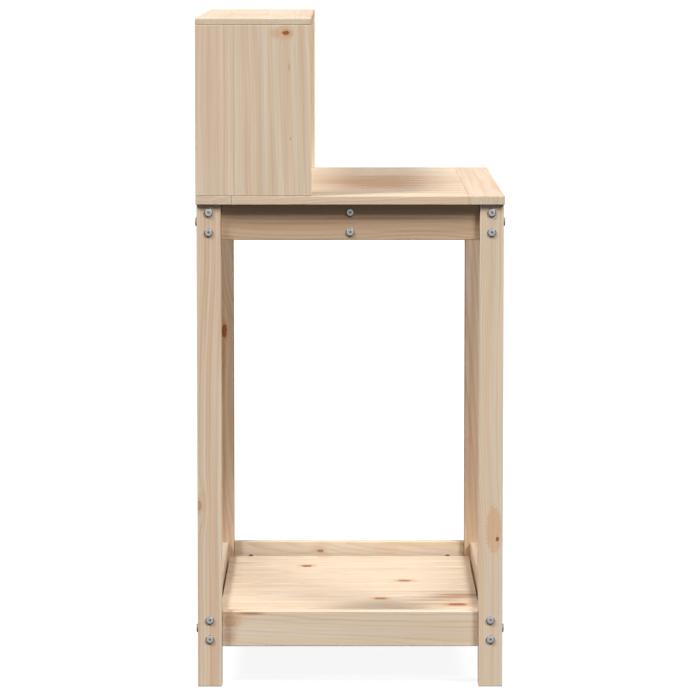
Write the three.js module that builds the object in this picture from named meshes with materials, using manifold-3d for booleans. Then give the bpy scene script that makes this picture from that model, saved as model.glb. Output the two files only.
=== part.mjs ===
// Potting bench: a bolted pine table with a slatted shelf below and an open hutch along its back.
// Millimetres, +Z up. +X runs along the bench, -Y is the front and +Y the back.
// The origin is on the floor, under the middle of the bench.

import * as THREE from 'three';
import { mergeVertices } from 'three/addons/utils/BufferGeometryUtils.js';
import Module from 'manifold-3d';

const wasm = await Module();
wasm.setup();

// Overall sizes
const tabletopLength = 825; // along X
const tabletopDepth = 500; // along Y
const tabletopHeight = 804; // floor to the working surface
const overallHeight = 1090; // floor to the top of the hutch

// Clearances
const seat = 0.3; // hairline between two pieces pressed together
const boltClearance = 0.5; // all round, between a bolt's shank and its hole

// Every board and leg
const easedEdge = 1.5; // small chamfer on the sawn edges

// Legs
const legWidth = 39; // square section
const endOverhang = 6.5; // tabletop past the legs at each end
const sideOverhang = 1.3; // tabletop past the legs at the front and back

// Rails and aprons share one section, centred on the legs' thickness
const railThickness = 18;
const railHeight = 58;
const lowerRailBottom = 65; // floor to the lower rails

// Tabletop
const topThickness = 14;
const longBoardWidth = 58;
const crossBoardCount = 13;
const crossBoardGap = 5.9;
const cleatWidth = 30;
const cleatThickness = 18;
const cleatClearance = 2; // to the legs and the end aprons

// Shelf
const slatCount = 11;
const slatGap = 6.5;
const slatThickness = 14;
const slatRowClearance = 15.7; // from the row's end to the legs
const slatEndClearance = 3; // from a slat's end to the long rail
const battenWidth = 18;
const battenHeight = 21;
const battenEndClearance = 2;

// Hutch
const hutchDepth = 187.5;
const hutchTopThickness = 10;
const uprightThickness = 12;

// Bolts and the barrel nuts that they pull on
const boltPitch = 32; // between the two bolts of a pair
const shankDiameter = 6;
const headDiameter = 14;
const headHeight = 2.4;
const headRim = 0.8; // upright part of the head's edge
const crownDiameter = 8; // flat middle of the head
const socketWidth = 4; // across the flats
const socketDepth = 1.5;
const nutDiameter = 10;
const nutInset = 30; // from the rail's end to the nut's axis
const nutHoleFloor = 3; // wood left behind the nut
const shankPastNut = 6;
const holeSides = 10;
const headSides = 20;

// Places worked out from the sizes
const legLength = tabletopHeight - topThickness - seat;
const legX = tabletopLength / 2 - endOverhang - legWidth / 2; // centre line of a leg
const legY = tabletopDepth / 2 - sideOverhang - legWidth / 2;
const legInnerX = legX - legWidth / 2;
const legInnerY = legY - legWidth / 2;
const upperRailZ = legLength - railHeight / 2; // middle of the aprons' height
const lowerRailZ = lowerRailBottom + railHeight / 2;
const railInnerX = legX - railThickness / 2; // inner face of the end rails
const railInnerY = legY - railThickness / 2; // inner face of the long rails
const longRailLength = 2 * (legInnerX - seat);
const endRailLength = 2 * (legInnerY - seat);
const boltHoleRadius = shankDiameter / 2 + boltClearance;
const boltHoleDepth = nutInset + shankPastNut + 2;

// Materials ------------------------------------------------------------------

function pine(color) {
  return new THREE.MeshStandardMaterial({ color, roughness: 0.62, metalness: 0 });
}

const framePine = pine(0xe3caa6);
const topPine = pine(0xebd8ba);
const hutchPine = pine(0xe0c8a4);
const steel = new THREE.MeshStandardMaterial({ color: 0xb9b9b6, roughness: 0.32, metalness: 1 });

// Cutting --------------------------------------------------------------------

function toSolid(geometry) {
  const bare = geometry.clone();
  bare.deleteAttribute('normal');
  bare.deleteAttribute('uv');
  const merged = mergeVertices(bare, 1e-4);
  return new wasm.Manifold(new wasm.Mesh({
    numProp: 3,
    vertProperties: merged.attributes.position.array,
    triVerts: merged.index.array,
  }));
}

function toGeometry(solid) {
  const mesh = solid.getMesh();
  const geometry = new THREE.BufferGeometry();
  geometry.setAttribute('position', new THREE.BufferAttribute(mesh.vertProperties, 3));
  geometry.setIndex(new THREE.BufferAttribute(mesh.triVerts, 1));
  const faceted = geometry.toNonIndexed();
  faceted.computeVertexNormals();
  return faceted;
}

function cut(geometry, cutters) {
  let solid = toSolid(geometry);
  for (const cutter of cutters) {
    solid = solid.subtract(toSolid(cutter));
  }
  return toGeometry(solid);
}

// A drill along X or Y, given by its middle.
function drill(axis, radius, length, x, y, z) {
  const geometry = new THREE.CylinderGeometry(radius, radius, length, holeSides);
  if (axis === 'x') {
    geometry.rotateZ(Math.PI / 2);
  }
  geometry.translate(x, y, z);
  return geometry;
}

// Boards ---------------------------------------------------------------------

// A board centred on its own origin, with every edge eased by the same chamfer.
function board(sizeX, sizeY, sizeZ) {
  const ease = Math.min(easedEdge, sizeX / 4, sizeY / 4, sizeZ / 4);
  const x = sizeX / 2 - ease;
  const y = sizeY / 2 - ease;
  const corner = ease * (Math.SQRT2 - 1); // grows to a corner chamfer of one ease
  const outline = new THREE.Shape();
  outline.moveTo(x - corner, -y);
  outline.lineTo(x, corner - y);
  outline.lineTo(x, y - corner);
  outline.lineTo(x - corner, y);
  outline.lineTo(corner - x, y);
  outline.lineTo(-x, y - corner);
  outline.lineTo(-x, corner - y);
  outline.lineTo(corner - x, -y);
  outline.closePath();
  const geometry = new THREE.ExtrudeGeometry(outline, {
    depth: sizeZ - 2 * ease,
    bevelEnabled: true,
    bevelSegments: 1,
    bevelSize: ease,
    bevelThickness: ease,
  });
  geometry.translate(0, 0, ease - sizeZ / 2);
  return geometry;
}

const bench = new THREE.Group();
bench.name = 'potting_bench';

function place(name, geometry, material, x, y, z) {
  const mesh = new THREE.Mesh(geometry, material);
  mesh.name = name;
  mesh.position.set(x, y, z);
  bench.add(mesh);
  return mesh;
}

const ends = [{ name: 'left', sign: -1 }, { name: 'right', sign: 1 }];
const sides = [{ name: 'front', sign: -1 }, { name: 'back', sign: 1 }];
const pair = [-boltPitch / 2, boltPitch / 2];

// Legs -----------------------------------------------------------------------

// Each leg is drilled right through: in pairs along X for the long rails,
// and once along Y at each level for the end rails.
function legGeometry() {
  const drills = [];
  for (const level of [upperRailZ, lowerRailZ]) {
    const z = level - legLength / 2;
    for (const offset of pair) {
      drills.push(drill('x', boltHoleRadius, legWidth + 2, 0, 0, z + offset));
    }
    drills.push(drill('y', boltHoleRadius, legWidth + 2, 0, 0, z));
  }
  return cut(board(legWidth, legWidth, legLength), drills);
}

for (const end of ends) {
  for (const side of sides) {
    const name = `leg_${side.name}_${end.name}`;
    place(name, legGeometry(), framePine, end.sign * legX, side.sign * legY, legLength / 2);
  }
}

// Rails and aprons -----------------------------------------------------------

// A rail along X or Y. It has a blind hole in each end for every bolt, and a blind hole for that
// bolt's barrel nut in its inner face, which is on the inward side. throughHoles pass its middle.
function rail(axis, length, inward, heights, throughHoles = []) {
  const drills = [];
  const nutHoleDepth = railThickness - nutHoleFloor;
  const nutHoleMiddle = inward * (railThickness / 2 - nutHoleDepth / 2 + 1);
  const across = axis === 'x' ? 'y' : 'x';
  for (const end of [-1, 1]) {
    const boltMiddle = end * (length / 2 - boltHoleDepth / 2 + 1);
    const nutPlace = end * (length / 2 - nutInset);
    for (const z of heights) {
      if (axis === 'x') {
        drills.push(drill('x', boltHoleRadius, boltHoleDepth + 2, boltMiddle, 0, z));
        drills.push(drill('y', nutDiameter / 2, nutHoleDepth + 2, nutPlace, nutHoleMiddle, z));
      } else {
        drills.push(drill('y', boltHoleRadius, boltHoleDepth + 2, 0, boltMiddle, z));
        drills.push(drill('x', nutDiameter / 2, nutHoleDepth + 2, nutHoleMiddle, nutPlace, z));
      }
    }
  }
  for (const z of throughHoles) {
    drills.push(drill(across, boltHoleRadius, railThickness + 2, 0, 0, z));
  }
  const sizeX = axis === 'x' ? length : railThickness;
  const sizeY = axis === 'x' ? railThickness : length;
  return cut(board(sizeX, sizeY, railHeight), drills);
}

for (const side of sides) {
  const inward = -side.sign;
  const y = side.sign * legY;
  place(`apron_${side.name}`, rail('x', longRailLength, inward, pair), framePine, 0, y, upperRailZ);
  place(`lower_rail_${side.name}`, rail('x', longRailLength, inward, pair), framePine, 0, y, lowerRailZ);
}

for (const end of ends) {
  const inward = -end.sign;
  const x = end.sign * legX;
  place(`apron_${end.name}`, rail('y', endRailLength, inward, [0], pair), framePine, x, 0, upperRailZ);
  place(`lower_rail_${end.name}`, rail('y', endRailLength, inward, [0]), framePine, x, 0, lowerRailZ);
}

const centreRailLength = 2 * (railInnerX - seat);
place('centre_rail', rail('x', centreRailLength, -1, pair), framePine, 0, 0, upperRailZ);

// Tabletop -------------------------------------------------------------------

const topZ = tabletopHeight - topThickness / 2;
const seamY = tabletopDepth / 2 - longBoardWidth;
const crossPitch = (tabletopLength + crossBoardGap) / crossBoardCount;
const crossWidth = crossPitch - crossBoardGap;
const crossLength = 2 * (seamY - seat);

for (const side of sides) {
  const y = side.sign * (seamY + longBoardWidth / 2);
  const geometry = board(tabletopLength, longBoardWidth, topThickness);
  place(`top_long_board_${side.name}`, geometry, topPine, 0, y, topZ);
}

for (let i = 0; i < crossBoardCount; i += 1) {
  const x = (i - (crossBoardCount - 1) / 2) * crossPitch;
  const geometry = board(crossWidth, crossLength, topThickness);
  place(`top_cross_board_${i + 1}`, geometry, topPine, x, 0, topZ);
}

// A cleat under each seam carries the cross boards' ends and the long board's inner edge.
const cleatY = Math.min(seamY, legInnerY - cleatClearance - cleatWidth / 2);
const cleatLength = 2 * (railInnerX - cleatClearance);
const cleatZ = legLength - cleatThickness / 2;

for (const side of sides) {
  const geometry = board(cleatLength, cleatWidth, cleatThickness);
  place(`top_cleat_${side.name}`, geometry, framePine, 0, side.sign * cleatY, cleatZ);
}

// Shelf ----------------------------------------------------------------------

const battenLength = 2 * (legInnerX - battenEndClearance);
const battenY = railInnerY - seat - battenWidth / 2;
const battenZ = lowerRailBottom + battenHeight / 2;

for (const side of sides) {
  const geometry = board(battenLength, battenWidth, battenHeight);
  place(`shelf_batten_${side.name}`, geometry, framePine, 0, side.sign * battenY, battenZ);
}

// The slats fill the length between the legs.
const slatRowLength = 2 * (legInnerX - slatRowClearance);
const slatPitch = (slatRowLength + slatGap) / slatCount;
const slatWidth = slatPitch - slatGap;
const slatLength = 2 * (railInnerY - slatEndClearance);
const slatZ = lowerRailBottom + battenHeight + seat + slatThickness / 2;

for (let i = 0; i < slatCount; i += 1) {
  const x = (i - (slatCount - 1) / 2) * slatPitch;
  const geometry = board(slatWidth, slatLength, slatThickness);
  place(`shelf_slat_${i + 1}`, geometry, topPine, x, 0, slatZ);
}

// Hutch ----------------------------------------------------------------------

const uprightHeight = overallHeight - hutchTopThickness - tabletopHeight - 2 * seat;
const uprightZ = tabletopHeight + seat + uprightHeight / 2;
const uprightSpan = tabletopLength - uprightThickness; // between the two side panels' middles
const hutchY = tabletopDepth / 2 - hutchDepth / 2;

for (const end of ends) {
  const geometry = board(uprightThickness, hutchDepth, uprightHeight);
  place(`hutch_side_${end.name}`, geometry, hutchPine, end.sign * uprightSpan / 2, hutchY, uprightZ);
}

const hutchTopZ = overallHeight - hutchTopThickness / 2;
const hutchTop = board(tabletopLength, hutchDepth, hutchTopThickness);
place('hutch_top', hutchTop, hutchPine, 0, hutchY, hutchTopZ);

// Bolts ----------------------------------------------------------------------

// A furniture bolt along Y: a low domed head above y = 0 with a hexagon socket, the shank below.
function boltGeometry(clamped) {
  const shank = shankDiameter / 2;
  const head = headDiameter / 2;
  const crown = crownDiameter / 2;
  const shoulder = (head + crown) / 2;
  const shoulderHeight = headRim + (headHeight - headRim) * 0.75;
  const shankLength = clamped + nutInset + shankPastNut;
  const profile = [
    new THREE.Vector2(0, -shankLength),
    new THREE.Vector2(shank, -shankLength),
    new THREE.Vector2(shank, 0),
    new THREE.Vector2(head, 0),
    new THREE.Vector2(head, headRim),
    new THREE.Vector2(shoulder, shoulderHeight),
    new THREE.Vector2(crown, headHeight),
    new THREE.Vector2(0, headHeight),
  ];
  const socket = new THREE.CylinderGeometry(
    socketWidth / Math.sqrt(3),
    socketWidth / Math.sqrt(3),
    2 * socketDepth,
    6,
  );
  socket.translate(0, headHeight, 0);
  return cut(new THREE.LatheGeometry(profile, headSides), [socket]);
}

// The head sits on the wood at the point given, facing outwards.
function placeBolt(name, clamped, x, y, z, outward) {
  const mesh = place(name, boltGeometry(clamped), steel, x, y, z);
  mesh.position.addScaledVector(outward, seat);
  mesh.quaternion.setFromUnitVectors(new THREE.Vector3(0, 1, 0), outward);
}

const levels = [{ name: 'upper', z: upperRailZ }, { name: 'lower', z: lowerRailZ }];

for (const end of ends) {
  // Through the side of each leg into the end rails
  for (const side of sides) {
    for (const level of levels) {
      const name = `bolt_${side.name}_${end.name}_${level.name}`;
      const y = side.sign * (legY + legWidth / 2);
      const outward = new THREE.Vector3(0, side.sign, 0);
      placeBolt(name, legWidth + seat, end.sign * legX, y, level.z, outward);
    }
  }
  // Through the middle of each end apron into the centre rail
  pair.forEach((offset, i) => {
    const name = `bolt_centre_${end.name}_${i + 1}`;
    const x = end.sign * (legX + railThickness / 2);
    const outward = new THREE.Vector3(end.sign, 0, 0);
    placeBolt(name, railThickness + seat, x, 0, upperRailZ + offset, outward);
  });
}

export default bench;
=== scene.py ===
# %% [markdown]
# # A pine potting bench
# The bench is a knock-down garden table: four square legs, flat rails bolted between them, a shelf
# of slats near the floor, a worktop of cross boards held between two long boards, and an open
# hutch along the back. Every part is planed pine, and the only metal made here is its bolts and
# their nuts. The frame gives each part's exact size and place. This script makes the parts as they
# look.

import math
import random

import bpy
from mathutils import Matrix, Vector


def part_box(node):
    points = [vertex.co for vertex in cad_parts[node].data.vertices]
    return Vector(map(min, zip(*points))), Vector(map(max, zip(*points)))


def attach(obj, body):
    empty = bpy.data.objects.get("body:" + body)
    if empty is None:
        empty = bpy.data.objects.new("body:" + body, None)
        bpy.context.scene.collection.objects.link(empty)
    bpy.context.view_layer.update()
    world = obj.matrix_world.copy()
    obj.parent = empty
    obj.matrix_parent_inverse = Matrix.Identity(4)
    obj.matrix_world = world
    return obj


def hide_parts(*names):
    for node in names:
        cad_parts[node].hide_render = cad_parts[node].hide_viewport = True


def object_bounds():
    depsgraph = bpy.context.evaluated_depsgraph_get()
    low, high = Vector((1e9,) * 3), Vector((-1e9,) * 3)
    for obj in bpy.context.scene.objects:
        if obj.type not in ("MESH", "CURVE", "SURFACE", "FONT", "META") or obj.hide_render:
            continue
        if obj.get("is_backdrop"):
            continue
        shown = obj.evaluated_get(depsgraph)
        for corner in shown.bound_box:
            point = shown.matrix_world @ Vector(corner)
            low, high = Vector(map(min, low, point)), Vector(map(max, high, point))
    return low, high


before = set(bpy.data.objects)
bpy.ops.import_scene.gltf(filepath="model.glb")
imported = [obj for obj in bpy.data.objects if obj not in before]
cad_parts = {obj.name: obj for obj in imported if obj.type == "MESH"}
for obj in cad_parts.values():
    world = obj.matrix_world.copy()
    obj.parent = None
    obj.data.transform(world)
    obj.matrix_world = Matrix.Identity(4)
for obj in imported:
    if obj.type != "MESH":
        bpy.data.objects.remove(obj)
cad_low, cad_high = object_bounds()
nodes = sorted(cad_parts)
print(len(nodes), "parts in the frame, in a box of", [round(s, 4) for s in cad_high - cad_low])

# %% [markdown]
# ## Small helpers
# An operator works on whatever is selected, so each step starts by clearing the selection. A part's
# object stays at the origin with its place in its mesh, so each new shape has its transform applied
# as soon as it stands in the right place.

# %% Selecting and applying
def select_only(*objects):
    bpy.ops.object.select_all(action="DESELECT")
    for each in objects:
        each.select_set(True)
    bpy.context.view_layer.objects.active = objects[0]


def freeze(piece):
    select_only(piece)
    bpy.ops.object.transform_apply(location=True, rotation=True, scale=True)


def apply_modifiers(piece):
    select_only(piece)
    for modifier in list(piece.modifiers):
        bpy.ops.object.modifier_apply(modifier=modifier.name)


def box_middle(low, high):
    return (low + high) / 2


def hand_over(piece, replaced=()):
    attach(piece, "root")
    if replaced:
        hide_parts(*replaced)


# %% [markdown]
# ## Writing materials as sums
# A wood pattern is mostly arithmetic on a position. These helpers add one node each and return its
# output, so that a material reads like a formula. A value that is the same all over is typed into
# the node's own socket.

# %% Sums
def fill(socket, value):
    if isinstance(value, bpy.types.NodeSocket):
        socket.id_data.links.new(value, socket)
    else:
        socket.default_value = value


def calc(tree, operation, *values):
    made = tree.nodes.new("ShaderNodeMath")
    made.operation = operation
    for socket, value in zip(made.inputs, values):
        fill(socket, value)
    return made.outputs[0]


def point(tree, x, y, z):
    made = tree.nodes.new("ShaderNodeCombineXYZ")
    for socket, value in zip(made.inputs, (x, y, z)):
        fill(socket, value)
    return made.outputs[0]


print("sums ready")

# %% Patterns and blends
def noise(tree, where, scale, detail=2.0, rough=0.5):
    made = tree.nodes.new("ShaderNodeTexNoise")
    fill(made.inputs["Vector"], where)
    fill(made.inputs["Scale"], scale)
    fill(made.inputs["Detail"], detail)
    fill(made.inputs["Roughness"], rough)
    return made.outputs[0]


def spread(tree, value, low, high, new_low=0.0, new_high=1.0, smooth=True):
    made = tree.nodes.new("ShaderNodeMapRange")
    made.interpolation_type = "SMOOTHSTEP" if smooth else "LINEAR"
    for socket, each in zip(made.inputs, (value, low, high, new_low, new_high)):
        fill(socket, each)
    return made.outputs[0]


def blend_colour(tree, share, first, second):
    made = tree.nodes.new("ShaderNodeMix")
    made.data_type = "RGBA"
    fill(made.inputs["Factor"], share)
    fill(made.inputs["A"], first)
    fill(made.inputs["B"], second)
    return made.outputs["Result"]


print("patterns and blends ready")

# %% Groups of nodes
def new_group(name, wanted, given):
    tree = bpy.data.node_groups.new(name, "ShaderNodeTree")
    for label, default in wanted:
        socket = tree.interface.new_socket(label, in_out="INPUT", socket_type="NodeSocketFloat")
        socket.default_value = default
    for label, kind in given:
        tree.interface.new_socket(label, in_out="OUTPUT", socket_type=kind)
    inputs = tree.nodes.new("NodeGroupInput").outputs
    outputs = tree.nodes.new("NodeGroupOutput").inputs
    return tree, inputs, outputs


def use_group(tree, group, **values):
    made = tree.nodes.new("ShaderNodeGroup")
    made.node_tree = group
    for label, value in values.items():
        fill(made.inputs[label.replace("_", " ").capitalize()], value)
    return made.outputs


print("groups ready")

# %% [markdown]
# ## A knot
# A knot is the root of a branch that the trunk grew round. It crosses a thin board nearly square to
# the face, so on the face it is an ellipse, a little longer along the grain. Everything follows
# from one ragged distance: a red-brown core with a dark rim, an orange halo, and a bend of the
# board's own rings, which part in front of the knot and close again behind it.

# %% Knot group
RAGGED_CELLS = 260.0
RAGGED_LAYER = 0.3
RAGGEDNESS = 0.9
CORE_ENDS = (0.70, 1.15)
RIM_STARTS = (0.55, 0.95)
RIM_ENDS = (0.95, 1.3)
BEND_LONG = 0.05
BEND_CROSS = 0.10

knot_group, given, result = new_group(
    "knot",
    [("Along", 0), ("Across", 0), ("Place along", 0), ("Place across", 0),
     ("Long radius", 0.006), ("Cross radius", 0.004), ("Darkness", 1), ("Halo", 1),
     ("Halo start", 0.8), ("Halo end", 3), ("Bend", 1)],
    [("Core", "NodeSocketFloat"), ("Rim", "NodeSocketFloat"), ("Halo", "NodeSocketFloat"),
     ("Bend", "NodeSocketFloat")],
)
t = knot_group
ragged = noise(t, point(t, given["Along"], given["Across"], RAGGED_LAYER), RAGGED_CELLS)
along = calc(t, "SUBTRACT", given["Along"], given["Place along"])
across = calc(t, "SUBTRACT", given["Across"], given["Place across"])
along_share = calc(t, "DIVIDE", along, given["Long radius"])
across_share = calc(t, "DIVIDE", across, given["Cross radius"])
along_squared = calc(t, "MULTIPLY", along_share, along_share)
across_squared = calc(t, "MULTIPLY", across_share, across_share)
smooth_distance = calc(t, "SQRT", calc(t, "ADD", along_squared, across_squared))
off_round = calc(t, "MULTIPLY", calc(t, "SUBTRACT", ragged, 0.5), RAGGEDNESS)
distance = calc(t, "ADD", smooth_distance, off_round)
core = spread(t, distance, *CORE_ENDS, 1.0, 0.0)
rim = calc(t, "MULTIPLY", spread(t, distance, *RIM_STARTS), spread(t, distance, *RIM_ENDS, 1.0, 0.0))
halo = spread(t, distance, given["Halo start"], given["Halo end"], 1.0, 0.0)
fill(result["Core"], calc(t, "MULTIPLY", core, given["Darkness"]))
fill(result["Rim"], calc(t, "MULTIPLY", rim, given["Darkness"]))
fill(result["Halo"], calc(t, "MULTIPLY", halo, given["Halo"]))
wide = calc(t, "ADD", calc(t, "MULTIPLY", along_squared, BEND_LONG),
            calc(t, "MULTIPLY", across_squared, BEND_CROSS))
swell = calc(t, "DIVIDE", given["Bend"], calc(t, "EXPONENT", wide))
fill(result["Bend"], calc(t, "MULTIPLY", swell, given["Cross radius"]))
print("knot group:", len(knot_group.nodes), "nodes")

# %% [markdown]
# ## Pine
# A board is a slice of a trunk, and its figure is where that slice cuts the trunk's rings. So the
# pattern is made as it grew: the distance from the heart of the tree, divided by the width of a
# year's ring. The heart lies outside most boards and leans a little, which gives long arches on
# flat-sawn faces, straight lines on the edges and arcs on the end grain, all from one formula.
# Within a year the wood goes slowly from pale to tan and then drops back at once.
# The rings carry the colour too: groups of years are pinker or greyer than others, and some trees
# are browner all through.

# %% Pine group
pine_group, given, result = new_group(
    "pine",
    [("Along", 0), ("Across", 0), ("Through", 0), ("Heart across", 0.01), ("Heart through", 0.06),
     ("Lean across", 0.0), ("Lean through", 0.02), ("Ring width", 0.003), ("Seed", 0),
     ("Contrast", 0.5), ("Warmth", 0.3), ("Brown", 0), ("Heartwood", 0), ("Core", 0), ("Rim", 0),
     ("Halo", 0), ("Bend", 0), ("End grain", 0), ("Edge", 0)],
    [("Color", "NodeSocketColor"), ("Roughness", "NodeSocketFloat"),
     ("Height", "NodeSocketFloat")],
)
t = pine_group
along, across, through, seed = (given[n] for n in ("Along", "Across", "Through", "Seed"))
shifted = calc(t, "ADD", across, seed)


def grain_noise(along_scale, cross_scale, detail=2.0, rough=0.5):
    """Noise drawn out along the grain: each scale is how many cells there are in a metre."""
    where = point(t, calc(t, "MULTIPLY", along, along_scale), calc(t, "MULTIPLY", shifted, cross_scale),
                  calc(t, "MULTIPLY", through, cross_scale))
    return noise(t, where, 1.0, detail, rough)


print("pine group started, with", len(pine_group.nodes), "nodes")

# %% [markdown]
# ## The rings
# A trunk isn't straight, so its heart sways a little along the board. The distance from it, counted
# in rings, gives the year and how far through that year the wood grew. Dense late wood fills the
# last part of each year, more in some years than in others.

# %% Years and late wood
SLOW_SWAY = 0.034
QUICK_SWAY = 0.006
SWAY_THROUGH = 0.6
UNEVEN_CELLS = 70.0
UNEVEN_YEARS = 2.4
LATE_STARTS = 0.22
LATE_ENDS = 0.90
LATE_STEEPNESS = 1.8
PALEST_YEAR = 0.25

slow = grain_noise(2.2, 9.0, 1.0)
wander = grain_noise(8.0, 40.0)
sway = calc(t, "ADD", calc(t, "MULTIPLY", calc(t, "SUBTRACT", slow, 0.5), SLOW_SWAY),
            calc(t, "MULTIPLY", calc(t, "SUBTRACT", wander, 0.5), QUICK_SWAY))
off_across = calc(t, "SUBTRACT", calc(t, "ADD", across, sway),
                  calc(t, "MULTIPLY_ADD", along, given["Lean across"], given["Heart across"]))
sway_through = calc(t, "MULTIPLY", sway, SWAY_THROUGH)
off_through = calc(t, "SUBTRACT", calc(t, "ADD", through, sway_through),
                   calc(t, "MULTIPLY_ADD", along, given["Lean through"], given["Heart through"]))
radius = calc(t, "SQRT", calc(t, "ADD", calc(t, "MULTIPLY", off_across, off_across),
                              calc(t, "MULTIPLY", off_through, off_through)))
radius = calc(t, "ADD", radius, given["Bend"])
uneven = noise(t, point(t, calc(t, "MULTIPLY", radius, UNEVEN_CELLS), seed, 0.0), 1.0, 2.0)
years = calc(t, "ADD", calc(t, "DIVIDE", radius, given["Ring width"]),
             calc(t, "MULTIPLY", uneven, UNEVEN_YEARS))
season = calc(t, "FRACT", years)
rising = spread(t, season, LATE_STARTS, LATE_ENDS)
falling = spread(t, season, LATE_ENDS, 1.0, 1.0, 0.0)
late = calc(t, "MULTIPLY", calc(t, "POWER", rising, LATE_STEEPNESS), falling)
one_year = t.nodes.new("ShaderNodeTexWhiteNoise")
one_year.noise_dimensions = "1D"
fill(one_year.inputs["W"], calc(t, "ADD", calc(t, "FLOOR", years), seed))
share_of_year = spread(t, one_year.outputs["Value"], 0.0, 1.0, PALEST_YEAR, 1.0, smooth=False)
late = calc(t, "MULTIPLY", late, share_of_year)
late_shade = calc(t, "MULTIPLY", late, given["Contrast"])
print("rings:", len(pine_group.nodes), "nodes so far")

# %% [markdown]
# ## The colours
# The colours are laid over each other from the commonest to the rarest: the pale wood, its pinker
# years, late wood, brown heartwood, and last the parts of a knot. Fine fibres, flecks and clouds
# then make the whole a little darker or lighter, as planed wood is.

# %% Pine colours
YEARS_ALONG = 1.1
YEARS_ACROSS = 85.0
HALO_SHARE = 0.75
CORE_SHARE = 0.95
RIM_SHARE = 0.55
STRAW_RANGE = (0.30, 0.70)
PINKER_RANGE = (0.42, 0.66)
HEARTWOOD_RANGE = (0.25, 0.70, 0.35, 1.0)
STREAK_SHADE = (0.30, 0.70, 0.95, 1.04)
FIBRE_SHADE = (0.25, 0.75, 0.965, 1.035)
FLECK_SHADE = (0.70, 0.78, 1.0, 0.86)
CLOUD_SHADE = (0.30, 0.70, 0.98, 1.015)
END_GRAIN_SHADE = -0.04
ARRIS_SHADE = 0.05

years_place = point(t, calc(t, "MULTIPLY", along, YEARS_ALONG),
                    calc(t, "MULTIPLY", radius, YEARS_ACROSS), seed)
group_of_years = noise(t, years_place, 1.0, 2.0)
hue = grain_noise(1.6, 130.0, 2.0)
streaks = grain_noise(2.2, 240.0, 2.0)
fibre = grain_noise(12.0, 800.0, 3.0, 0.6)
fleck = grain_noise(60.0, 1500.0, 1.0)
cloud = grain_noise(5.0, 14.0, 2.0)

cream = (0.795, 0.665, 0.535, 1.0)
straw = (0.805, 0.640, 0.455, 1.0)
tan = (0.600, 0.375, 0.200, 1.0)
rosy = (0.725, 0.490, 0.335, 1.0)
chestnut = (0.520, 0.330, 0.185, 1.0)
heartwood = (0.420, 0.185, 0.080, 1.0)
amber = (0.680, 0.330, 0.120, 1.0)
russet = (0.400, 0.115, 0.038, 1.0)
bark = (0.075, 0.025, 0.012, 1.0)
colour = blend_colour(t, spread(t, hue, *STRAW_RANGE), cream, straw)
pinker = calc(t, "MULTIPLY", spread(t, group_of_years, *PINKER_RANGE), given["Warmth"])
colour = blend_colour(t, pinker, colour, rosy)
colour = blend_colour(t, late_shade, colour, tan)
colour = blend_colour(t, given["Brown"], colour, chestnut)
heart_streaks = calc(t, "MULTIPLY", given["Heartwood"], spread(t, streaks, *HEARTWOOD_RANGE))
colour = blend_colour(t, heart_streaks, colour, heartwood)
colour = blend_colour(t, calc(t, "MULTIPLY", given["Halo"], HALO_SHARE), colour, amber)
colour = blend_colour(t, calc(t, "MULTIPLY", given["Core"], CORE_SHARE), colour, russet)
colour = blend_colour(t, calc(t, "MULTIPLY", given["Rim"], RIM_SHARE), colour, bark)
shade = calc(t, "MULTIPLY", spread(t, streaks, *STREAK_SHADE, smooth=False),
             spread(t, fibre, *FIBRE_SHADE, smooth=False))
shade = calc(t, "MULTIPLY", shade, spread(t, fleck, *FLECK_SHADE))
shade = calc(t, "MULTIPLY", shade, spread(t, cloud, *CLOUD_SHADE, smooth=False))
shade = calc(t, "MULTIPLY", shade, calc(t, "MULTIPLY_ADD", given["End grain"], END_GRAIN_SHADE, 1.0))
shade = calc(t, "MULTIPLY", shade, calc(t, "MULTIPLY_ADD", given["Edge"], ARRIS_SHADE, 1.0))
shaded = t.nodes.new("ShaderNodeVectorMath")
shaded.operation = "SCALE"
fill(shaded.inputs[0], colour)
fill(shaded.inputs["Scale"], shade)
fill(result["Color"], shaded.outputs[0])
print("colours:", len(pine_group.nodes), "nodes so far")

# %% [markdown]
# ## The surface
# Late wood is harder than the rest, so planing leaves it a little prouder and smoother. A knot is
# smoother still, and cut ends are rougher. The height goes to a bump in each board's material.

# %% Pine surface
PLAIN_ROUGHNESS = 0.58
LATE_SMOOTHER = -0.08
END_GRAIN_ROUGHER = 0.16
KNOT_SMOOTHER = 0.15
LATE_HEIGHT = 0.55
FIBRE_HEIGHT = 0.45
KNOT_HEIGHT = 0.6

rough = calc(t, "MULTIPLY_ADD", late, LATE_SMOOTHER, PLAIN_ROUGHNESS)
rough = calc(t, "ADD", rough, calc(t, "MULTIPLY", given["End grain"], END_GRAIN_ROUGHER))
rough = calc(t, "SUBTRACT", rough, calc(t, "MULTIPLY", given["Core"], KNOT_SMOOTHER))
fill(result["Roughness"], rough)
height = calc(t, "ADD", calc(t, "MULTIPLY", late, LATE_HEIGHT),
              calc(t, "MULTIPLY", fibre, FIBRE_HEIGHT))
height = calc(t, "ADD", height, calc(t, "MULTIPLY", given["Core"], KNOT_HEIGHT))
fill(result["Height"], height)
print("pine group:", len(pine_group.nodes), "nodes")

# %% [markdown]
# ## One material for each board
# No two boards come from the same place in a tree, so each part gets its own settings in a material
# of its own. The grain runs along a board's longest side, and the middle of the board is the
# pattern's origin. How near a point is to an arris is the middle one of its three distances to the
# board's faces. Sanding leaves the wood near it a little paler. Planed pine hardly shines, so its
# gloss is low.

# %% Grain and arrises
ARRIS_WIDTH = 0.0035


def grain_order(size):
    """The axes along, across and through a board, from its longest side to its shortest."""
    return sorted((1, 0, 2), key=lambda axis: -round(size[axis], 4))


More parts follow.
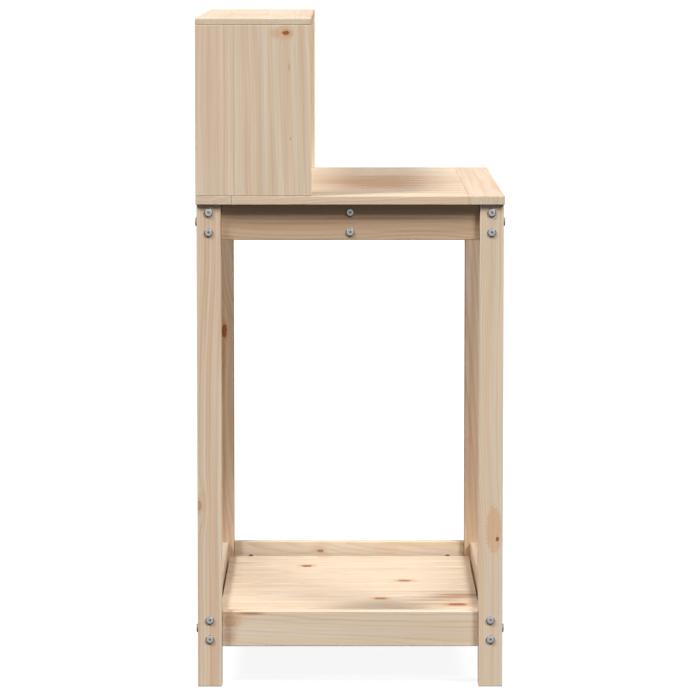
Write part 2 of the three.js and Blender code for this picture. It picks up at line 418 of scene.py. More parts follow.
def near_arris(tree, own, size):
    """1 on an arris of the board, fading to 0 at ARRIS_WIDTH from it."""
    gaps = [calc(tree, "SUBTRACT", size[axis] / 2, calc(tree, "ABSOLUTE", own[axis]))
            for axis in range(3)]
    nearest = calc(tree, "MINIMUM", calc(tree, "MINIMUM", gaps[0], gaps[1]), gaps[2])
    farthest = calc(tree, "MAXIMUM", calc(tree, "MAXIMUM", gaps[0], gaps[1]), gaps[2])
    total = calc(tree, "ADD", calc(tree, "ADD", gaps[0], gaps[1]), gaps[2])
    arris = calc(tree, "SUBTRACT", calc(tree, "SUBTRACT", total, nearest), farthest)
    return spread(tree, arris, 0.0, ARRIS_WIDTH, 1.0, 0.0)


print("arrises are paler for", ARRIS_WIDTH * 1000, "mm")

# %% Knots and streaks of a board
def lay_knots(tree, along, across, knots):
    core = rim = halo = bend = 0.0
    for each in knots:
        made = use_group(tree, knot_group, along=along, across=across, **each)
        core = calc(tree, "MAXIMUM", core, made["Core"])
        rim = calc(tree, "MAXIMUM", rim, made["Rim"])
        halo = calc(tree, "MAXIMUM", halo, made["Halo"])
        bend = calc(tree, "ADD", bend, made["Bend"])
    return core, rim, halo, bend


def lay_streaks(tree, along, across, streaks):
    dark = 0.0
    for each in streaks:
        made = use_group(tree, knot_group, along=along, across=across, darkness=0.0, **each)
        dark = calc(tree, "MAXIMUM", dark, made["Halo"])
    return dark


print("knots and streaks ready to lay")

# %% Settings left to chance
def chance_settings(name):
    """A board's own settings, drawn from its name, so they are the same every time."""
    chance = random.Random(name)
    return {
        "heart_across": chance.uniform(-0.035, 0.035),
        "heart_through": chance.choice((-1, 1)) * chance.uniform(0.035, 0.09),
        "lean_across": chance.uniform(-0.03, 0.03),
        "lean_through": chance.uniform(-0.05, 0.05),
        "ring_width": chance.uniform(0.0032, 0.0055),
        "seed": chance.uniform(0, 40),
        "contrast": chance.uniform(0.30, 0.62),
        "warmth": chance.uniform(0.25, 0.70),
        "brown": max(0.0, chance.uniform(-0.06, 0.10)),
    }


print("one board's rings are", round(1000 * chance_settings("apron_back")["ring_width"], 1), "mm wide")

# %% Pine material
END_GRAIN_FROM = 0.70
END_GRAIN_FULL = 0.95
WOOD_GLOSS = 0.15
GRAIN_STRENGTH = 0.55
GRAIN_DEPTH = 0.00022


def pine_material(name, low, high, knots=(), streaks=(), **settings):
    material = bpy.data.materials.new("pine_" + name)
    material.use_nodes = True
    tree = material.node_tree
    surface = tree.nodes["Principled BSDF"]
    middle, size = box_middle(low, high), high - low
    order = grain_order(size)

    place = tree.nodes.new("ShaderNodeSeparateXYZ")
    coordinates = tree.nodes.new("ShaderNodeTexCoord")
    fill(place.inputs[0], coordinates.outputs["Object"])
    own = [calc(tree, "SUBTRACT", place.outputs[axis], middle[axis]) for axis in range(3)]
    along, across, through = (own[axis] for axis in order)

    facing = tree.nodes.new("ShaderNodeSeparateXYZ")
    fill(facing.inputs[0], tree.nodes.new("ShaderNodeNewGeometry").outputs["True Normal"])
    end_grain = spread(tree, calc(tree, "ABSOLUTE", facing.outputs[order[0]]),
                       END_GRAIN_FROM, END_GRAIN_FULL)

    edge = near_arris(tree, own, size)
    core, rim, halo, bend = lay_knots(tree, along, across, knots)
    dark = lay_streaks(tree, along, across, streaks)

    values = chance_settings(name)
    values.update(settings)
    wood = use_group(tree, pine_group, along=along, across=across, through=through, core=core, rim=rim,
                     halo=halo, bend=bend, heartwood=dark, end_grain=end_grain, edge=edge, **values)
    fill(surface.inputs["Base Color"], wood["Color"])
    fill(surface.inputs["Roughness"], wood["Roughness"])
    surface.inputs["Specular IOR Level"].default_value = WOOD_GLOSS
    bump = tree.nodes.new("ShaderNodeBump")
    bump.inputs["Strength"].default_value = GRAIN_STRENGTH
    bump.inputs["Distance"].default_value = GRAIN_DEPTH
    fill(bump.inputs["Height"], wood["Height"])
    fill(surface.inputs["Normal"], bump.outputs[0])
    return material


print("the grain stands up by", GRAIN_DEPTH * 1000, "mm at most")

# %% [markdown]
# ## Boards
# Each board starts as a block of the exact size. All its edges are rounded over with a fine bevel,
# as a sander leaves them, and the flat faces keep their own normals so that they stay flat in the
# light.

# %% Make a board
FINE_EDGE = 0.0009
SANDED_EDGE = 0.0014
EDGE_STEPS = 4
SHARP_ANGLE = math.radians(35)


def roundover(name):
    """The worktop and the hutch only lose their sharp edges, and the frame is rounder."""
    if name.startswith(("top_long", "top_cross", "hutch")):
        return FINE_EDGE
    return SANDED_EDGE


def make_board(name, low, high):
    bpy.ops.object.select_all(action="DESELECT")
    bpy.ops.mesh.primitive_cube_add(size=1, location=box_middle(low, high), scale=high - low)
    board = bpy.context.object
    board.name = name
    freeze(board)
    bpy.ops.object.mode_set(mode="EDIT")
    bpy.ops.mesh.select_all(action="SELECT")
    bpy.ops.mesh.bevel(offset=roundover(name), offset_type="OFFSET", segments=EDGE_STEPS,
                       profile=0.5, affect="EDGES")
    bpy.ops.object.mode_set(mode="OBJECT")
    return board


def finish_board(board):
    select_only(board)
    bpy.ops.object.shade_smooth_by_angle(angle=SHARP_ANGLE)
    board.modifiers.new("flat_faces", "WEIGHTED_NORMAL").keep_sharp = True
    apply_modifiers(board)


print("the frame's edges are rounded by", SANDED_EDGE * 1000, "mm")

# %% [markdown]
# ## Where the bolts go
# Each joint has two bolts into the end of a long rail and one into the end of a short rail, all
# through the leg, with low domed heads that take a hex key. Two more join each end rail to the long
# rail in the middle. A bolt pulls on a barrel nut, a short steel rod with a cross thread, dropped
# into a hole in the rail's inner face. The frame holds some of these bolts, which give the size of
# a head and how it sits on the wood.

# %% Bolt and nut sizes
BOLT_PITCH = 0.032
SHANK_RADIUS = 0.003
NUT_FROM_END = 0.030
NUT_RADIUS = 0.005
NUT_HOLE_DEPTH = 0.015
PAST_NUT = 0.006
PAST_LEG = 0.001
HOLE_PLAY = 0.00015
SEAT_TOLERANCE = 0.0005
ON_THE_MIDDLE = 1e-6

X, Y = Vector((1, 0, 0)), Vector((0, 1, 0))
bolts = []
nuts = []
bores = {}
print("a bolt is", SHANK_RADIUS * 2000, "mm thick and a nut", NUT_RADIUS * 2000, "mm")

# %% One bolt's place
def add_bolt(rail, leg, end, out, height, replaced=()):
    """A bolt through a leg, or an end rail, into one end of a rail, and the nut that it pulls on."""
    low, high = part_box(rail)
    outer_low, outer_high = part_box(leg)
    axis = 0 if abs(out.x) > 0.5 else 1
    spot = box_middle(low, high)
    spot.z += height
    wood_end = (high if end > 0 else low)[axis]
    face = (outer_high if end > 0 else outer_low)[axis]
    nut = spot.copy()
    nut[axis] = wood_end - end * NUT_FROM_END
    thin = 1 - axis
    inner = -1 if spot[thin] > -ON_THE_MIDDLE else 1
    mouth = nut.copy()
    mouth[thin] = (low if inner < 0 else high)[thin]
    head = spot.copy()
    head[axis] = face
    length = abs(face - nut[axis]) + PAST_NUT
    bolts.append({"seat": head, "out": out, "length": length, "replaced": replaced})
    nut_out = Vector((0, 0, 0))
    nut_out[thin] = inner
    nuts.append({"mouth": mouth, "out": nut_out})
    start = head.copy()
    start[axis] = wood_end
    shank_hole, nut_hole = SHANK_RADIUS + HOLE_PLAY, NUT_RADIUS + HOLE_PLAY
    through_leg = abs(face - wood_end) + PAST_LEG
    into_rail = NUT_FROM_END + PAST_NUT
    bores.setdefault(leg, []).append((head, out, shank_hole, through_leg, "shank"))
    bores.setdefault(rail, []).append((start, out, shank_hole, into_rail, "shank"))
    bores.setdefault(rail, []).append((mouth, nut_out, nut_hole, NUT_HOLE_DEPTH, "nut"))


print("a bolt reaches", 1000 * PAST_NUT, "mm past the middle of its nut")

# %% Every bolt's place
for side, sign in (("front", -1), ("back", 1)):
    for end, along in (("left", -1), ("right", 1)):
        leg = "leg_%s_%s" % (side, end)
        for level, rail in (("upper", "apron_"), ("lower", "lower_rail_")):
            for height in (-BOLT_PITCH / 2, BOLT_PITCH / 2):
                add_bolt(rail + side, leg, along, X * along, height)
            in_frame = "bolt_%s_%s_%s" % (side, end, level)
            add_bolt(rail + end, leg, sign, Y * sign, 0, [in_frame])
for end, along in (("left", -1), ("right", 1)):
    for number, height in ((1, -BOLT_PITCH / 2), (2, BOLT_PITCH / 2)):
        in_frame = "bolt_centre_%s_%d" % (end, number)
        add_bolt("centre_rail", "apron_" + end, along, X * along, height, [in_frame])
print(len(bolts), "bolts and", len(nuts), "nuts have a place")

# %% [markdown]
# ## The size of a head
# A bolt that is in the frame has a box, whose narrow sides are the head's width and whose outer end
# is the top of the head. Its middle line has to agree with the place worked out above.

# %% Compare with the frame's bolts
for bolt in bolts:
    for node in bolt["replaced"]:
        low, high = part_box(node)
        axis = max(range(3), key=lambda a: high[a] - low[a])
        near = (high if sum(bolt["out"]) > 0 else low)[axis]
        head_out = abs(near - bolt["seat"][axis])
        head_radius = min(high[a] - low[a] for a in range(3)) / 2
        middle = box_middle(low, high)
        off = max(abs(middle[a] - bolt["seat"][a]) for a in range(3) if a != axis)
        assert off < SEAT_TOLERANCE, (node, off)
print("a head is", round(2000 * head_radius, 1), "mm wide and stands out",
      round(1000 * head_out, 2), "mm")

# %% [markdown]
# ## Boring the boards
# A hole is cut by a cylinder that stands out past the face, taken away from the board. The nut holes
# go first and the bolt holes after them, because where two cutters cross inside one cut, a boolean
# can leave stray faces.

# %% Bore a board
HOLE_SIDES = 36
CUTTER_EXTRA = 0.004


def bore(board, holes):
    for kind in ("nut", "shank"):
        cutters = []
        for spot, out, radius, depth, hole_kind in holes:
            if hole_kind != kind:
                continue
            bpy.ops.object.select_all(action="DESELECT")
            turn = out.to_track_quat("Z", "Y").to_euler()
            middle = spot - out * (depth - CUTTER_EXTRA) / 2
            bpy.ops.mesh.primitive_cylinder_add(vertices=HOLE_SIDES, radius=radius,
                                                depth=depth + CUTTER_EXTRA,
                                                location=middle, rotation=turn)
            cutters.append(bpy.context.object)
        if not cutters:
            continue
        select_only(*cutters)
        if len(cutters) > 1:
            bpy.ops.object.join()
        cutter = bpy.context.object
        modifier = board.modifiers.new("holes", "BOOLEAN")
        modifier.operation = "DIFFERENCE"
        modifier.solver = "EXACT"
        modifier.object = cutter
        apply_modifiers(board)
        bpy.data.objects.remove(cutter)


print("holes in", len(bores), "boards")

# %% [markdown]
# ## What each board looks like
# Some boards are left to chance. The others have settings of their own, such as a knot or a brown
# streak in a known place, given in millimetres from the board's middle along and across its grain.

# %% Knots
def knot(along_mm, across_mm, long_mm, cross_mm, darkness=1.0, halo=1.0,
         start=0.8, end=3.0, bend=1.0):
    return {
        "place_along": along_mm / 1000, "place_across": across_mm / 1000,
        "long_radius": long_mm / 1000, "cross_radius": cross_mm / 1000,
        "darkness": darkness, "halo": halo, "halo_start": start, "halo_end": end, "bend": bend,
    }


def stain(along_mm, across_mm, long_mm, cross_mm, strength=0.6, start=0.3, end=1.3, bend=0.0):
    """A patch of colour with no knot in it."""
    return knot(along_mm, across_mm, long_mm, cross_mm, 0.0, strength, start, end, bend)


def streak(along_mm, across_mm, long_mm, cross_mm, strength=0.6, start=0.2, end=1.4):
    """A run of brown heartwood, for the streaks list. On the hutch top's front edge it is painted
    shade, and on the worktop's middle boards it is partly painted shade.
    """
    made = stain(along_mm, across_mm, long_mm, cross_mm, strength, start, end)
    del made["darkness"]
    return made


def painted_shade_and_heartwood(patch, along_mm, long_mm, cross_mm, strength, **more):
    """A cross board with a brown patch and a brown streak in front of its middle, partly brown
    heartwood and partly the hutch's shadow painted in.
    """
    return dict(knots=[stain(-50, 0, 120, 50, patch)],
                streaks=[streak(along_mm, 0, long_mm, cross_mm, strength)], **more)


print("a streak is made of", streak(0, 0, 10, 2))

# %% Hutch and legs
special = {
    "hutch_side_left": dict(
        knots=[knot(125, -53, 2.8, 4.6, start=0.9, end=3.4, bend=2.2),
               stain(124, -46, 11, 20, 0.60),
               knot(-45, -60, 2.2, 0.8, darkness=0.5, halo=0.3),
               knot(70, -58, 5, 1.0, darkness=0.25, halo=0.3)],
        streaks=[streak(30, 34, 150, 3.0, 0.16), streak(-60, 10, 70, 5, 0.14),
                 streak(-70, -30, 50, 5, 0.12)],
        ring_width=0.0052, contrast=0.28, warmth=0.50,
        heart_across=-0.13, heart_through=0.03, lean_across=0.03,
    ),
    # The brown streak along the front edge is painted shade: it darkens the top's front face and a
    # narrow strip of the top beside it.
    "hutch_top": dict(
        streaks=[streak(0, -94, 600, 4, 0.55)],
        heart_across=0.01, heart_through=0.15, ring_width=0.0034, lean_through=0.01, warmth=0.4,
    ),
    "hutch_side_right": dict(warmth=0.0, brown=0.0),
    "leg_front_left": dict(
        knots=[knot(-151, -11, 3.2, 2.6, halo=0.8, end=2.0, bend=2.0),
               stain(-136, -5, 40, 13, 0.55, 0.86, 1.06)],
        brown=0.02, heart_across=0.06, heart_through=0.012, lean_across=0.004,
        lean_through=0.003, ring_width=0.0034, contrast=0.38,
    ),
    "leg_back_right": dict(
        knots=[knot(115, -3, 11.0, 4.0, halo=0.9, end=3.5, bend=2.0),
               stain(85, -3, 60, 6, 0.6), stain(0, 0, 480, 40, 0.30)],
        streaks=[streak(60, -1, 110, 4.0, 0.6), streak(-150, -2, 200, 4.0, 0.45)],
        brown=0.08, contrast=0.8, warmth=0.95,
    ),
    "leg_back_left": dict(
        knots=[knot(-96, 17, 7, 4, darkness=0.35, halo=0.6, bend=3.0),
               stain(-80, 12, 9, 6, 0.35)],
        contrast=0.5, warmth=0.7, heart_across=-0.06, heart_through=0.014,
        lean_across=-0.012, lean_through=0.004,
    ),
    "leg_front_right": dict(
        knots=[stain(-85, 10, 12, 6, 0.5)],
        streaks=[streak(140, 6, 160, 5, 0.30), streak(-20, 10, 200, 3, 0.35)],
        brown=0.30, contrast=0.7, warmth=0.8,
    ),
}
print(len(special), "boards of the hutch and legs are set by hand")

# %% Rails
special["lower_rail_left"] = dict(
    knots=[stain(190, 17, 24, 12, 0.30)],
    streaks=[streak(165, 25, 26, 3.0, 1.0), streak(197, 14, 17, 16, 0.80),
             streak(199, -10, 14, 20, 0.5)],
    contrast=0.36, warmth=0.15, heart_across=0.07, heart_through=0.02,
    lean_across=0.012, lean_through=0.006, ring_width=0.0060,
)
special["lower_rail_right"] = dict(
    knots=[knot(53, 12, 5.0, 2.5, darkness=0.7, halo=0.3),
           stain(-68, 14, 22, 14, 0.16, 0.8, 1.2)],
    streaks=[streak(55, 15, 16, 12, 0.22)],
    contrast=0.35, warmth=0.0,
)
special["lower_rail_front"] = dict(contrast=0.7, warmth=0.8)
special["apron_left"] = dict(
    streaks=[streak(-40, 6, 150, 2.6, 0.60), streak(90, -2, 110, 2.0, 0.50),
             streak(-120, -14, 90, 2.4, 0.45)],
    brown=0.60, contrast=1.0, warmth=0.7, heart_across=0.075, heart_through=0.02,
    lean_across=0.012, lean_through=0.004, ring_width=0.0065,
)
print(len(special), "boards set by hand, with the rails")

# %% Worktop
special.update({
    "top_long_board_front": dict(contrast=0.34, heart_across=0.09, heart_through=0.02,
                                 lean_across=0.01),
    # Boards 4 to 9 hold painted shade: their brown patches and streaks lie in the band where the
    # hutch's shadow falls on the worktop, partly heartwood and partly that shadow painted in.
    "top_cross_board_4": painted_shade_and_heartwood(0.22, -60, 60, 30, 0.45, brown=0.04),
    "top_cross_board_5": painted_shade_and_heartwood(0.34, -55, 70, 32, 0.65, brown=0.06),
    "top_cross_board_6": painted_shade_and_heartwood(0.42, -45, 95, 34, 0.75, brown=0.08, contrast=0.8),
    "top_cross_board_7": painted_shade_and_heartwood(0.42, -40, 95, 34, 0.80, brown=0.08, contrast=0.8),
    "top_cross_board_8": painted_shade_and_heartwood(0.36, -45, 90, 32, 0.70, brown=0.06, contrast=0.7),
    "top_cross_board_9": painted_shade_and_heartwood(0.26, -55, 75, 30, 0.50, brown=0.05),
    "top_cross_board_10": dict(brown=0.05),
    "top_cross_board_11": dict(brown=0.05),
})
print(len(special), "boards set by hand, with the worktop")

# %% Shelf
SLATS = 11
SLAT_WARMTH = 0.12
SLAT_CONTRAST = 0.45
CONTRAST_STEP = 0.04

shelf = {
    2: dict(streaks=[streak(205, 0, 30, 20, 0.5)]),
    3: dict(
        knots=[knot(-181, 4, 14.0, 10.0, start=0.9, end=2.8), stain(-176, 4, 30, 10, 0.5),
               stain(-62, 2, 14, 8, 0.35), stain(-105, 6, 12, 6, 0.35)],
        streaks=[streak(-140, 10, 40, 8, 0.55)],
    ),
    4: dict(
        knots=[knot(-52, 2, 9.0, 8.0, start=0.9, end=2.8)],
        streaks=[streak(-172, 16, 50, 18, 1.0), streak(-145, -16, 50, 10, 0.8)],
    ),
    5: dict(streaks=[streak(-185, -22, 55, 16, 0.95), streak(-150, 12, 75, 7, 0.5)]),
    6: dict(streaks=[streak(120, 10, 60, 5, 0.35)]),
    7: dict(knots=[knot(-96, 2, 10.0, 8.0, start=0.9, end=2.8)]),
    9: dict(streaks=[streak(170, -8, 50, 6, 0.45), streak(-60, 12, 80, 4, 0.30)]),
    10: dict(knots=[knot(76, -22, 8.0, 8.0)], streaks=[streak(195, 10, 30, 8, 0.7)]),
}
for number in range(1, SLATS + 1):
    contrast = SLAT_CONTRAST + CONTRAST_STEP * (number % 5)
    slat = dict(shelf.get(number, {}), warmth=SLAT_WARMTH, contrast=contrast)
    special["shelf_slat_%d" % number] = slat
print(len(special), "boards set by hand, with the shelf")

# %% [markdown]
# ## Making the boards
# Each part of the frame now gets its finished board, bored before its flat faces are set, and the
# board takes the place of the plain part.

# %% All the boards
grain_counts = {}
for name in nodes:
    if name.startswith("bolt"):
        continue
    low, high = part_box(name)
    board = make_board(name + "_wood", low, high)
    bore(board, bores.get(name, []))
    finish_board(board)
    board.data.materials.append(pine_material(name, low, high, **special.get(name, {})))
    hand_over(board, [name])
    grain_axis = "XYZ"[grain_order(high - low)[0]]
    grain_counts[grain_axis] = grain_counts.get(grain_axis, 0) + 1
print("boards made, by the way their grain runs:", grain_counts)

# %% [markdown]
# ## Steel
# The bolts are zinc-plated: a soft, slightly uneven shine with fine turning marks. The inside of a
# hex socket is painted dark grey as painted shade in the recess, and the steep rim of a head is a
# duller grey, as painted shade and a painted dark reflection round the head. The nuts are dark steel.

# %% Steel materials
CLOUD_CELLS = 350.0
CLOUD_RANGE = (0.3, 0.7)
TURNING_CELLS = 3200.0
STEEL_METALLIC = 0.65
TURNING_STRENGTH = 0.25
TURNING_DEPTH = 0.00005


def steel_material(name, dull, bright, rough_low, rough_high):
    material = bpy.data.materials.new(name)
    material.use_nodes = True
    tree = material.node_tree
    surface = tree.nodes["Principled BSDF"]
    where = tree.nodes.new("ShaderNodeTexCoord").outputs["Object"]
    cloudy = noise(tree, where, CLOUD_CELLS, 3.0)
    fine = noise(tree, where, TURNING_CELLS, 2.0)
    fill(surface.inputs["Base Color"], blend_colour(tree, cloudy, dull, bright))
    fill(surface.inputs["Roughness"], spread(tree, cloudy, *CLOUD_RANGE, rough_low, rough_high))
    surface.inputs["Metallic"].default_value = STEEL_METALLIC
    bump = tree.nodes.new("ShaderNodeBump")
    bump.inputs["Strength"].default_value = TURNING_STRENGTH
    bump.inputs["Distance"].default_value = TURNING_DEPTH
    fill(bump.inputs["Height"], fine)
    fill(surface.inputs["Normal"], bump.outputs[0])
    return material


def grey(level):
    return (level, level, level, 1.0)


zinc = steel_material("bright_zinc", grey(0.62), grey(0.78), 0.24, 0.34)
# The dark steel is the nuts' own colour, and inside a hex socket it is painted shade.
dark_steel_and_socket_shade = steel_material("dark_zinc_and_socket_shade", grey(0.08), grey(0.15), 0.40, 0.55)
# The duller grey of a head's steep rim is painted shade and a painted dark reflection round the head.
painted_rim_shade = steel_material("painted_rim_shade_zinc", grey(0.22), grey(0.34), 0.35, 0.45)
print("steel ready")

# %% [markdown]
# ## Bolts and nuts
# A head is a low dome with a hex socket, forged in one blow, and its shank is a plain rod here. A
# barrel nut is a rod with a slot across its end, by which a screwdriver turns it to meet the bolt.

# %% Tools for small steel
def add_cylinder(sides, radius, low_z, high_z):
    bpy.ops.object.select_all(action="DESELECT")
    bpy.ops.mesh.primitive_cylinder_add(vertices=sides, radius=radius, depth=high_z - low_z,
                                        location=(0, 0, (low_z + high_z) / 2))
    made = bpy.context.object
    freeze(made)
    return made


def cut(piece, cutter):
    modifier = piece.modifiers.new("cut", "BOOLEAN")
    modifier.operation = "DIFFERENCE"
    modifier.solver = "EXACT"
    modifier.object = cutter
    apply_modifiers(piece)
    bpy.data.objects.remove(cutter)


def select_faces(piece, chosen):
    """Selects the faces that a test picks, and leaves the piece in edit mode."""
    select_only(piece)
    bpy.ops.object.mode_set(mode="EDIT")
    bpy.ops.mesh.select_all(action="DESELECT")
    bpy.ops.object.mode_set(mode="OBJECT")
    bpy.context.tool_settings.mesh_select_mode = (False, False, True)
    for face in piece.data.polygons:
        face.select = chosen(face)
    bpy.ops.object.mode_set(mode="EDIT")


def stand(piece, spot, out):
    """Turns a piece made along Z to point along out, and moves its origin to the spot."""
    piece.rotation_euler = out.to_track_quat("Z", "Y").to_euler()
    piece.location = spot
    freeze(piece)


def smooth_small(piece):
    select_only(piece)
    bpy.ops.object.shade_smooth_by_angle(angle=math.radians(30))


print("tools for small steel ready")

# %% Make the bolts
HEAD_SIDES = 40
HEAD_GAP = 0.0003
FLAT_TOP = 0.9
DOME_SHARE = 0.80
DOME_STEPS = 7
SOCKET_ACROSS = 0.004
SOCKET_DEPTH = 0.0020
SOCKET_MOUTH = 0.0002
SOCKET_REACH = 0.52
CUTTER_ABOVE = 0.001
# Faces of a head steeper than this take the duller grey, as painted shade and a painted dark
# reflection.
RIM_SHADE_TURN = 0.88
SHANK_SIDES = 16
SHANK_INTO_HEAD = 0.2


def make_bolt(name, seat_gap, height, radius, length):
    head = add_cylinder(HEAD_SIDES, radius, seat_gap, seat_gap + height)
    select_faces(head, lambda face: face.normal.z > FLAT_TOP)
    bpy.ops.mesh.bevel(offset=height * DOME_SHARE, segments=DOME_STEPS, profile=0.5,
                       affect="EDGES")
    bpy.ops.object.mode_set(mode="OBJECT")
    top = seat_gap + height
    socket = add_cylinder(6, SOCKET_ACROSS / math.sqrt(3), top - SOCKET_DEPTH, top + CUTTER_ABOVE)
    cut(head, socket)
    head.data.materials.append(zinc)
    head.data.materials.append(dark_steel_and_socket_shade)
    head.data.materials.append(painted_rim_shade)
    # The socket's inner faces take the dark steel as painted shade, and the steep rim takes the duller
    # grey as painted shade and a painted dark reflection.
    for face in head.data.polygons:
        inside = math.hypot(face.center.x, face.center.y) < SOCKET_ACROSS * SOCKET_REACH
        if inside and face.center.z < top - SOCKET_MOUTH:
            face.material_index = 1
        elif face.normal.z < RIM_SHADE_TURN:
            face.material_index = 2
    shank = add_cylinder(SHANK_SIDES, SHANK_RADIUS, -length, seat_gap + height * SHANK_INTO_HEAD)
    select_only(head, shank)
    bpy.ops.object.join()
    head.name = name
    return head


for number, bolt in enumerate(bolts):
    piece = make_bolt("hex_bolt_%02d" % (number + 1), HEAD_GAP, head_out - HEAD_GAP,
                      head_radius, bolt["length"])
    stand(piece, bolt["seat"], bolt["out"])
    smooth_small(piece)
    hand_over(piece, bolt["replaced"])
print(len(bolts), "bolts made")

# %% Make the nuts
NUT_SIDES = 28
NUT_SETBACK = 0.0006
BELOW_NUT = 0.001
NUT_BEVEL = 0.0005
SLOT_WIDTH = 0.0012
SLOT_DEPTH = 0.0012

for number, nut in enumerate(nuts):
    piece = add_cylinder(NUT_SIDES, NUT_RADIUS, -(NUT_HOLE_DEPTH - BELOW_NUT), -NUT_SETBACK)
    select_faces(piece, lambda face: abs(face.normal.z) > FLAT_TOP)
    bpy.ops.mesh.bevel(offset=NUT_BEVEL, segments=2, affect="EDGES")
    bpy.ops.object.mode_set(mode="OBJECT")
    bpy.ops.object.select_all(action="DESELECT")
    bpy.ops.mesh.primitive_cube_add(size=1, location=(0, 0, -NUT_SETBACK),
                                    scale=(SLOT_WIDTH, 3 * NUT_RADIUS, 2 * SLOT_DEPTH))
    slot = bpy.context.object
    freeze(slot)
    cut(piece, slot)
    piece.name = "barrel_nut_%02d" % (number + 1)
    stand(piece, nut["mouth"], nut["out"])
    smooth_small(piece)
    piece.data.materials.append(dark_steel_and_socket_shade)
    hand_over(piece)
print(len(nuts), "nuts made")

# %% [markdown]
# ## The studio
# The bench stands on a plain white floor that runs out to a white wall. The floor gives off a
# little light of its own, so the shadow on it stays faint, and it doesn't throw light back up, so
# the underside of the worktop stays dark.

# %% Floor
FLOOR_SIZE = 400
FLOOR_GREY = 0.15
FLOOR_GLOW = 0.91

bpy.ops.object.select_all(action="DESELECT")
bpy.ops.mesh.primitive_plane_add(size=FLOOR_SIZE, location=(0, 0, 0))
floor = bpy.context.object
floor.name = "studio_floor"
floor.visible_diffuse = False
floor.visible_glossy = False
floor_material = bpy.data.materials.new("white_paper")
floor_material.use_nodes = True
paper = floor_material.node_tree.nodes["Principled BSDF"]
paper.inputs["Base Color"].default_value = grey(FLOOR_GREY)
paper.inputs["Roughness"].default_value = 1.0
paper.inputs["Specular IOR Level"].default_value = 0.0
paper.inputs["Emission Color"].default_value = (1, 1, 1, 1)
paper.inputs["Emission Strength"].default_value = FLOOR_GLOW
floor.data.materials.append(floor_material)
floor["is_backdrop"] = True
print("floor ready")

# %% [markdown]
# ## The air
# The camera sees an even white wall. The light that falls on the bench is another matter: it is
# dim, apart from a broad bright wall beyond the far end and a smaller one behind the camera. So
# the world gives one answer to the camera and another to every other ray.

# %% World
FAR_WALL = 0.80
FAR_WALL_MIDDLE = 0.10
FAR_WALL_RISES = (0.0, 0.7)
FAR_WALL_FADES = (0.20, 0.60)
NEAR_WALL = 0.55
NEAR_WALL_MIDDLE = -0.05
NEAR_WALL_RISES = (-0.88, -0.98)
NEAR_WALL_FADES = (0.15, 0.45)
ROOM_LIGHT = (-0.25, 0.45, 0.02, 0.12)
BACKDROP = 1.05

world = bpy.data.worlds.new("studio_air")
world.use_nodes = True
bpy.context.scene.world = world
tree = world.node_tree
tree.nodes.clear()
direction = tree.nodes.new("ShaderNodeSeparateXYZ")
fill(direction.inputs[0], tree.nodes.new("ShaderNodeTexCoord").outputs["Generated"])
far_height = calc(tree, "ABSOLUTE", calc(tree, "SUBTRACT", direction.outputs[2], FAR_WALL_MIDDLE))
far_level = spread(tree, far_height, *FAR_WALL_FADES, 1.0, 0.0)
far_wall = calc(tree, "MULTIPLY", spread(tree, direction.outputs[0], *FAR_WALL_RISES), far_level)
near_height = calc(tree, "ABSOLUTE", calc(tree, "SUBTRACT", direction.outputs[2], NEAR_WALL_MIDDLE))
near_level = spread(tree, near_height, *NEAR_WALL_FADES, 1.0, 0.0)
near_wall = calc(tree, "MULTIPLY", spread(tree, direction.outputs[0], *NEAR_WALL_RISES), near_level)
room_light = spread(tree, direction.outputs[2], *ROOM_LIGHT)
walls = calc(tree, "MULTIPLY_ADD", far_wall, FAR_WALL, calc(tree, "MULTIPLY", near_wall, NEAR_WALL))
sky = tree.nodes.new("ShaderNodeBackground")
sky.inputs["Color"].default_value = (1.0, 1.0, 1.0, 1)
fill(sky.inputs["Strength"], calc(tree, "ADD", walls, room_light))
wall = tree.nodes.new("ShaderNodeBackground")
wall.inputs["Strength"].default_value = BACKDROP
mixed = tree.nodes.new("ShaderNodeMixShader")
fill(mixed.inputs[0], tree.nodes.new("ShaderNodeLightPath").outputs["Is Camera Ray"])
fill(mixed.inputs[1], sky.outputs[0])
fill(mixed.inputs[2], wall.outputs[0])
fill(tree.nodes.new("ShaderNodeOutputWorld").inputs["Surface"], mixed.outputs[0])
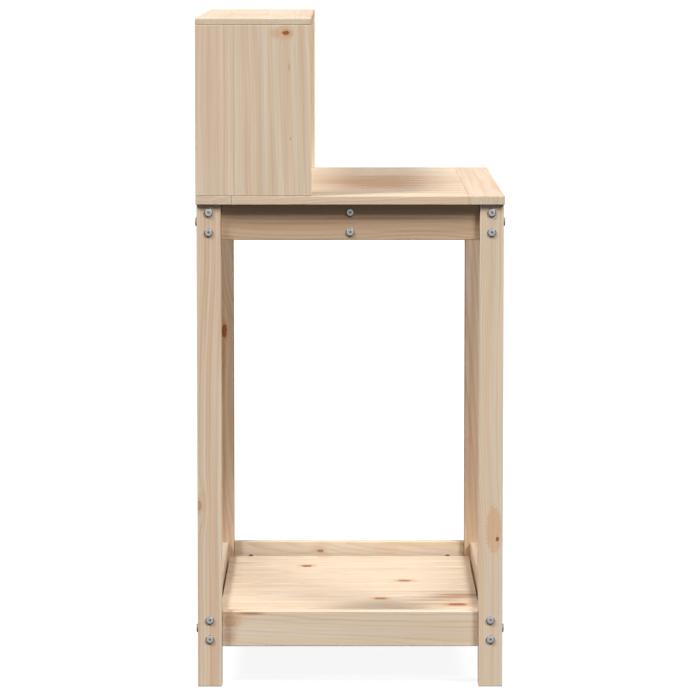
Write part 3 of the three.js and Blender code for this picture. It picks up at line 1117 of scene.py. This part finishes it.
print("air ready:", len(tree.nodes), "nodes")

# %% [markdown]
# ## Lights
# Two soft lamps stand high on either side of the near end. The one behind the bench is the smaller,
# so the hutch throws a fairly sharp shadow forwards over the worktop. The one in front is a little
# wider and stronger, and reaches under the worktop from that side.

# %% Lamps
def sun(name, azimuth, elevation, strength, width):
    """A lamp far away: azimuth is counted from +X towards +Y, and width is how wide it looks."""
    bpy.ops.object.select_all(action="DESELECT")
    bpy.ops.object.light_add(type="SUN", location=(0, 0, 3))
    lamp = bpy.context.object
    lamp.name = name
    turn, rise = math.radians(azimuth), math.radians(elevation)
    level = math.cos(rise)
    towards = Vector((math.cos(turn) * level, math.sin(turn) * level, math.sin(rise)))
    lamp.rotation_euler = towards.to_track_quat("Z", "Y").to_euler()
    lamp.data.energy = strength
    lamp.data.angle = math.radians(width)


sun("back_lamp", azimuth=122, elevation=49, strength=2.35, width=14)
sun("front_lamp", azimuth=223, elevation=44, strength=2.60, width=20)
print("two lamps ready")

# %% [markdown]
# ## Camera
# A long lens far off shows the near end almost square on, so upright legs stay upright. It stands a
# little above the worktop and looks slightly down, which opens the worktop and the shelf.

# %% Camera
LENS = 210.14
SENSOR = 36
FAR_CLIP = 1000

camera_place = Vector((-7.002, 0.0143, 1.2235))
camera_aim = Vector((-0.406, 0.0003, 0.5536))
bpy.ops.object.select_all(action="DESELECT")
bpy.ops.object.camera_add(location=camera_place)
camera = bpy.context.object
camera.rotation_euler = (camera_aim - camera_place).to_track_quat("-Z", "Y").to_euler()
camera.data.lens = LENS
camera.data.sensor_width = SENSOR
camera.data.clip_end = FAR_CLIP
bpy.context.scene.camera = camera
bpy.context.scene.view_settings.view_transform = "Standard"
print("the camera is", round((camera_aim - camera_place).length, 3), "m from what it looks at")

# %% [markdown]
# ## Sizes, and the end
# The finished model has to stay in the frame's box, so both boxes are written down and compared.

seen_low, seen_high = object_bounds()
grown = [round(1000 * v, 3) for v in (*(cad_low - seen_low), *(seen_high - cad_high))]
print("grew by", grown, "mm")
